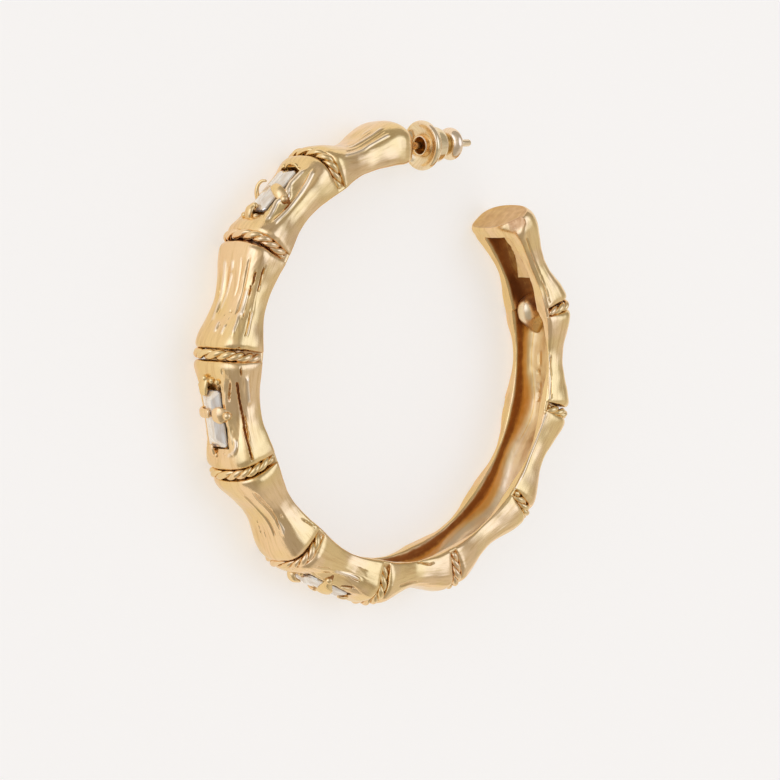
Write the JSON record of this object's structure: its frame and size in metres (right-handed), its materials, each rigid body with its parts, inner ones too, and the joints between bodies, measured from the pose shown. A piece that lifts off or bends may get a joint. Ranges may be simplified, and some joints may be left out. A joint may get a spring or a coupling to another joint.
{
  "type": "bamboo hoop earring",
  "caption": "Open hoop earring cast like bamboo with rope bands over its joints, hollow on its inner side, set with clear cut stones and held by a push-on nut on its ear post.",
  "frame": {"origin": "centre of the hoop, on the surface that it lies on", "axes": "+X along the ear post, out of the hoop; +Y up as the earring is worn; +Z up as it lies on its side, across the hoop's width"},
  "size_m": [0.0559, 0.0555, 0.0079],
  "materials": {
    "gold": "polished warm gold plate over cast brass, brown in the recesses",
    "nut_gold": "polished pale gold plate on turned brass",
    "crystal": "clear step-cut glass stone, polished"
  },
  "bodies": {
    "hoop": {"bamboo_hoop": "gold", "stone_1": "crystal", "stone_2": "crystal", "stone_3": "crystal"},
    "nut": {"ear_nut": "nut_gold"}
  },
  "joints": [
    {"name": "nut_slide", "type": "slide", "parent": "hoop", "child": "nut", "axis": [1, 0, 0], "range_m": [-0.0015, 0.0085]}
  ]
}
